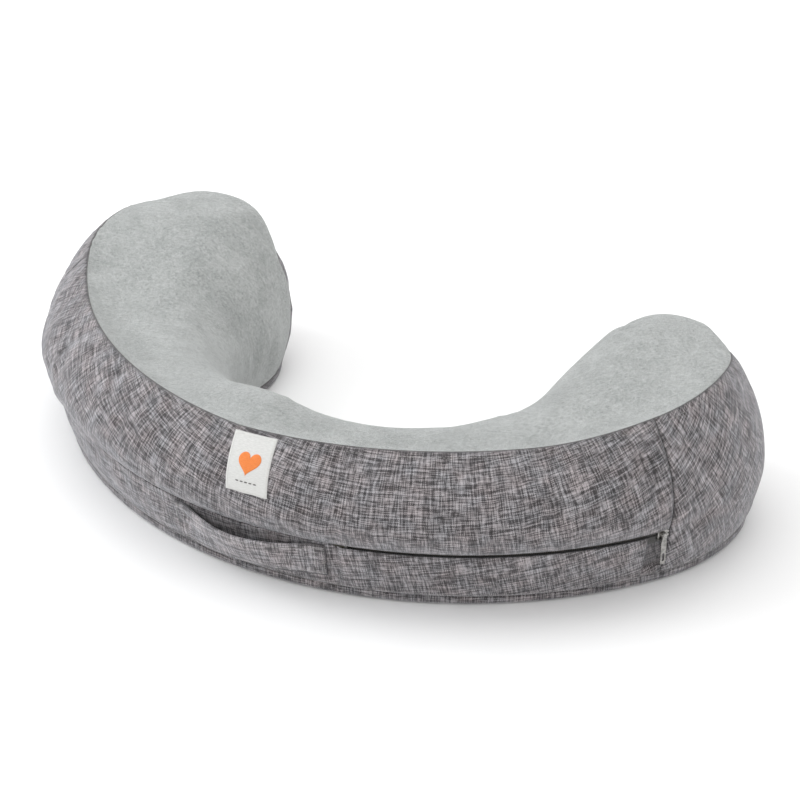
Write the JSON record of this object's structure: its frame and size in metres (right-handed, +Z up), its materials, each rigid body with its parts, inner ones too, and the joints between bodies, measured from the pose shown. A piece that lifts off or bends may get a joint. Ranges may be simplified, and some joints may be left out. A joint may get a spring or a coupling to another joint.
{
  "type": "nursing pillow",
  "caption": "Crescent foam nursing pillow in a zipped cover: plush top, woven walls with a carry handle, a sewn label and a concealed zipper.",
  "frame": {"origin": "on the supporting surface under the middle of the pillow's bounding box", "axes": "+X along the pillow's long way, +Y out of the waist opening, +Z up; the front wall with the handle faces -Y"},
  "size_m": [0.6908, 0.3912, 0.1519],
  "materials": {
    "foam": "open-cell polyurethane foam",
    "plush": "short-pile plush, pale grey-green",
    "woven_fabric": "heathered plain weave, grey",
    "zipper_tape": "woven tape",
    "zipper_coil": "nylon coil",
    "zipper_metal": "bright nickel plate",
    "thread": "polyester sewing thread",
    "label_satin": "woven label tape",
    "emblem_thread": "satin-stitch embroidery"
  },
  "bodies": {
    "pillow": {"foam_core": "foam", "plush_top_panel": "plush", "front_wall_panel": "woven_fabric", "lower_band_panel": "woven_fabric", "left_end_panel": "woven_fabric", "right_end_panel": "woven_fabric", "base_panel": "woven_fabric", "zipper_flap": "woven_fabric", "zipper_tape_upper": "zipper_tape", "zipper_tape_lower": "zipper_tape", "zipper_coil_upper": "zipper_coil", "zipper_coil_lower": "zipper_coil", "zipper_top_stops": "zipper_metal", "zipper_bottom_stop": "zipper_metal", "handle_strap": "woven_fabric", "handle_end_stitching": "thread", "label_patch": "label_satin", "label_emblem": "emblem_thread", "label_stitching": "thread", "care_label": "label_satin", "top_seam_stitching": "thread", "base_seam_stitching": "thread"},
    "slider": {"zipper_slider": "zipper_metal"},
    "pull_tab": {"zipper_pull_tab": "zipper_metal"}
  },
  "joints": [
    {"name": "slider_travel", "type": "hinge", "parent": "pillow", "child": "slider", "pos_m": [0, 0.19697, 0.0541], "axis": [0, 0, -1], "range_deg": [0, 38.5]},
    {"name": "pull_tab_swing", "type": "hinge", "parent": "slider", "child": "pull_tab", "pos_m": [0.314, -0.01912, 0.0556], "axis": [-0.5669, -0.8238, 0], "range_deg": [-4, 135]}
  ]
}
